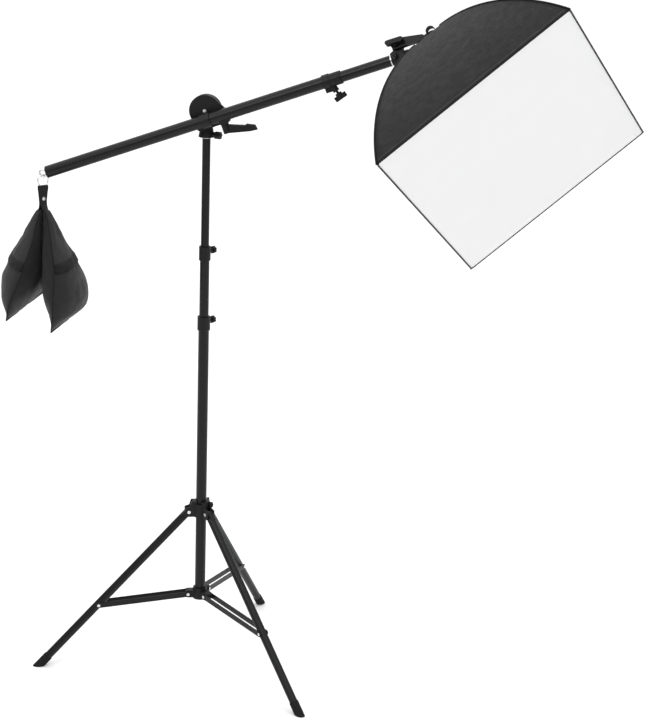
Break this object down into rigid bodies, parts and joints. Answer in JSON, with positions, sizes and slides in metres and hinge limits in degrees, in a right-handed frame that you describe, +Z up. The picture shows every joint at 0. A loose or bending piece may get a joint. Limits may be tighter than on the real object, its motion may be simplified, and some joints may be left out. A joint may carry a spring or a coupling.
{
  "type": "boom-arm softbox light",
  "caption": "Rectangular softbox on a telescopic boom with tilting bracket, on a folding tripod stand, balanced by a hanging counterweight bag.",
  "frame": {"origin": "on the floor, under the middle of the whole light's box", "axes": "+Z up; +X to the right, from the bag towards the softbox; +Y to the back, away from the softbox's lit face"},
  "size_m": [1.471, 0.9957, 1.7114],
  "materials": {
    "black_tube": "satin black",
    "leg_tube": "satin black",
    "cast_black": "black coated casting",
    "black_plastic": "moulded black",
    "zinc": "bright zinc",
    "foot_rubber": "matt",
    "white_ceramic": "glazed",
    "opal": "opal",
    "shell_black": "black coated nylon, silver inside",
    "binding": "woven tape",
    "white_cloth": "white diffusion cloth",
    "bag_cloth": "heavy black nylon"
  },
  "bodies": {
    "column": {"lower_tube": "black_tube", "lower_collar": "black_plastic", "base_hub": "black_plastic", "brace_pins": "zinc"},
    "hub": {"leg_hub": "black_plastic", "leg_pivot_pins": "zinc"},
    "middle": {"middle_tube": "black_tube", "upper_collar": "black_plastic"},
    "top": {"top_tube": "black_tube", "top_stud": "zinc"},
    "head": {"head_socket": "cast_black", "friction_washer": "black_plastic"},
    "clamp": {"boom_clamp": "cast_black", "clamp_band": "cast_black", "pivot_bolt": "zinc"},
    "boom_outer": {"boom_tube": "black_tube", "boom_collar": "black_plastic", "boom_end_plug": "black_plastic", "boom_eye": "zinc"},
    "boom_inner": {"boom_inner_tube": "black_tube", "boom_stud": "zinc"},
    "bracket": {"bracket_socket": "cast_black"},
    "softbox": {"tilt_arm": "cast_black", "lamp_holder": "black_plastic", "lamp_socket": "white_ceramic", "bulb_cap": "zinc", "bulb": "opal", "rod_hub": "black_plastic", "softbox_rods": "zinc", "panel_top": "shell_black", "panel_bottom": "shell_black", "panel_left": "shell_black", "panel_right": "shell_black", "edge_binding": "binding", "diffuser": "white_cloth"},
    "bag": {"bag_ring": "zinc", "bag_strap": "bag_cloth", "pouch_left": "bag_cloth", "pouch_right": "bag_cloth"},
    "clamp_lever": {"clamp_lever": "black_plastic"},
    "hub_knob": {"hub_knob": "black_plastic"},
    "lower_collar_knob": {"lower_collar_knob": "black_plastic"},
    "upper_collar_knob": {"upper_collar_knob": "black_plastic"},
    "head_thumbscrew": {"head_thumbscrew": "black_plastic"},
    "tilt_lock_knob": {"tilt_lock_knob": "black_plastic"},
    "boom_collar_knob": {"boom_collar_knob": "black_plastic"},
    "bracket_thumbscrew": {"bracket_thumbscrew": "black_plastic"},
    "tilt_knob": {"tilt_knob": "black_plastic"},
    "leg_left": {"leg_left": "leg_tube", "foot_left": "foot_rubber"},
    "brace_left": {"brace_left": "leg_tube", "rivets_left": "zinc"},
    "leg_front": {"leg_front": "leg_tube", "foot_front": "foot_rubber"},
    "brace_front": {"brace_front": "leg_tube", "rivets_front": "zinc"},
    "leg_back": {"leg_back": "leg_tube", "foot_back": "foot_rubber"},
    "brace_back": {"brace_back": "leg_tube", "rivets_back": "zinc"}
  },
  "joints": [
    {"name": "hub_slide", "type": "slide", "parent": "column", "child": "hub", "axis": [0, 0, 1], "range_m": [0, 0.319]},
    {"name": "leg_left_hinge", "type": "hinge", "parent": "hub", "child": "leg_left", "pos_m": [-0.2898, 0.115, 0.3885], "axis": [0.1633, -0.9866, 0], "range_deg": [0, 37.9]},
    {"name": "brace_left_hinge", "type": "hinge", "parent": "column", "child": "brace_left", "pos_m": [-0.2898, 0.115, 0.177], "axis": [-0.1633, 0.9866, 0], "range_deg": [0, 88.59]},
    {"name": "leg_front_hinge", "type": "hinge", "parent": "hub", "child": "leg_front", "pos_m": [-0.24068, 0.09712, 0.3885], "axis": [0.7593, 0.6508, 0], "range_deg": [0, 37.9]},
    {"name": "brace_front_hinge", "type": "hinge", "parent": "column", "child": "brace_front", "pos_m": [-0.24068, 0.09712, 0.177], "axis": [-0.7593, -0.6508, 0], "range_deg": [0, 88.59]},
    {"name": "leg_back_hinge", "type": "hinge", "parent": "hub", "child": "leg_back", "pos_m": [-0.24965, 0.14798, 0.3885], "axis": [-0.9361, 0.3518, 0], "range_deg": [0, 37.9]},
    {"name": "brace_back_hinge", "type": "hinge", "parent": "column", "child": "brace_back", "pos_m": [-0.24965, 0.14798, 0.177], "axis": [0.9361, -0.3518, 0], "range_deg": [0, 88.59]},
    {"name": "middle_slide", "type": "slide", "parent": "column", "child": "middle", "axis": [0, 0, 1], "range_m": [-0.13, 0.4]},
    {"name": "top_slide", "type": "slide", "parent": "middle", "child": "top", "axis": [0, 0, 1], "range_m": [-0.25, 0.35]},
    {"name": "head_pan", "type": "hinge", "parent": "top", "child": "head", "pos_m": [-0.2602, 0.1199, 1.32], "axis": [0, 0, 1], "continuous": true},
    {"name": "boom_tilt", "type": "hinge", "parent": "head", "child": "clamp", "pos_m": [-0.2602, 0.1199, 1.364], "axis": [0.1633, 0.9866, 0], "range_deg": [-20, 50]},
    {"name": "boom_slide", "type": "slide", "parent": "clamp", "child": "boom_outer", "axis": [0.9198, -0.1523, 0.3616], "range_m": [-0.15, 0.2]},
    {"name": "boom_extend", "type": "slide", "parent": "boom_outer", "child": "boom_inner", "axis": [0.9198, -0.1523, 0.3616], "range_m": [-0.1, 0.5]},
    {"name": "bracket_swivel", "type": "hinge", "parent": "boom_inner", "child": "bracket", "pos_m": [0.17319, 0.01166, 1.51578], "axis": [0.9198, -0.1523, 0.3616], "continuous": true},
    {"name": "softbox_tilt", "type": "hinge", "parent": "bracket", "child": "softbox", "pos_m": [0.16894, 0.02702, 1.53637], "axis": [0.3341, 0.7873, -0.5182], "range_deg": [-120, 20]},
    {"name": "bag_swing", "type": "hinge", "parent": "boom_outer", "child": "bag", "pos_m": [-0.63799, 0.14595, 1.19687], "axis": [-0.1633, -0.9866, 0], "range_deg": [-45, 15]},
    {"name": "clamp_lever_turn", "type": "hinge", "parent": "clamp", "child": "clamp_lever", "pos_m": [-0.22417, 0.07744, 1.35956], "axis": [0.3568, -0.0591, -0.9323], "range_deg": [0, 120]},
    {"name": "hub_knob_turn", "type": "hinge", "parent": "hub", "child": "hub_knob", "pos_m": [-0.2602, 0.1199, 0.4025], "axis": [0.9866, 0.1633, 0], "continuous": true},
    {"name": "lower_collar_knob_turn", "type": "hinge", "parent": "column", "child": "lower_collar_knob", "pos_m": [-0.2602, 0.1199, 0.86], "axis": [0.6428, 0.766, 0], "continuous": true},
    {"name": "upper_collar_knob_turn", "type": "hinge", "parent": "middle", "child": "upper_collar_knob", "pos_m": [-0.2602, 0.1199, 1.029], "axis": [0.6428, 0.766, 0], "continuous": true},
    {"name": "head_thumbscrew_turn", "type": "hinge", "parent": "head", "child": "head_thumbscrew", "pos_m": [-0.2602, 0.1199, 1.307], "axis": [0.9107, -0.4131, 0], "continuous": true},
    {"name": "tilt_lock_knob_turn", "type": "hinge", "parent": "head", "child": "tilt_lock_knob", "pos_m": [-0.2602, 0.1199, 1.364], "axis": [-0.1633, -0.9866, 0], "continuous": true},
    {"name": "boom_collar_knob_turn", "type": "hinge", "parent": "boom_outer", "child": "boom_collar_knob", "pos_m": [0.01682, 0.03755, 1.45431], "axis": [0.6101, -0.101, -0.7859], "continuous": true},
    {"name": "bracket_thumbscrew_turn", "type": "hinge", "parent": "bracket", "child": "bracket_thumbscrew", "pos_m": [0.16491, 0.01303, 1.51253], "axis": [-0.3341, -0.7873, 0.5182], "continuous": true},
    {"name": "tilt_knob_turn", "type": "hinge", "parent": "bracket", "child": "tilt_knob", "pos_m": [0.16894, 0.02702, 1.53637], "axis": [-0.3341, -0.7873, 0.5182], "continuous": true}
  ],
  "couplings": [
    {"joint": "leg_left_hinge", "follows": "hub_slide", "rad_per_m": 2.0627},
    {"joint": "brace_left_hinge", "follows": "hub_slide", "rad_per_m": 4.8359},
    {"joint": "leg_front_hinge", "follows": "hub_slide", "rad_per_m": 2.0627},
    {"joint": "brace_front_hinge", "follows": "hub_slide", "rad_per_m": 4.8359},
    {"joint": "leg_back_hinge", "follows": "hub_slide", "rad_per_m": 2.0627},
    {"joint": "brace_back_hinge", "follows": "hub_slide", "rad_per_m": 4.8359}
  ]
}
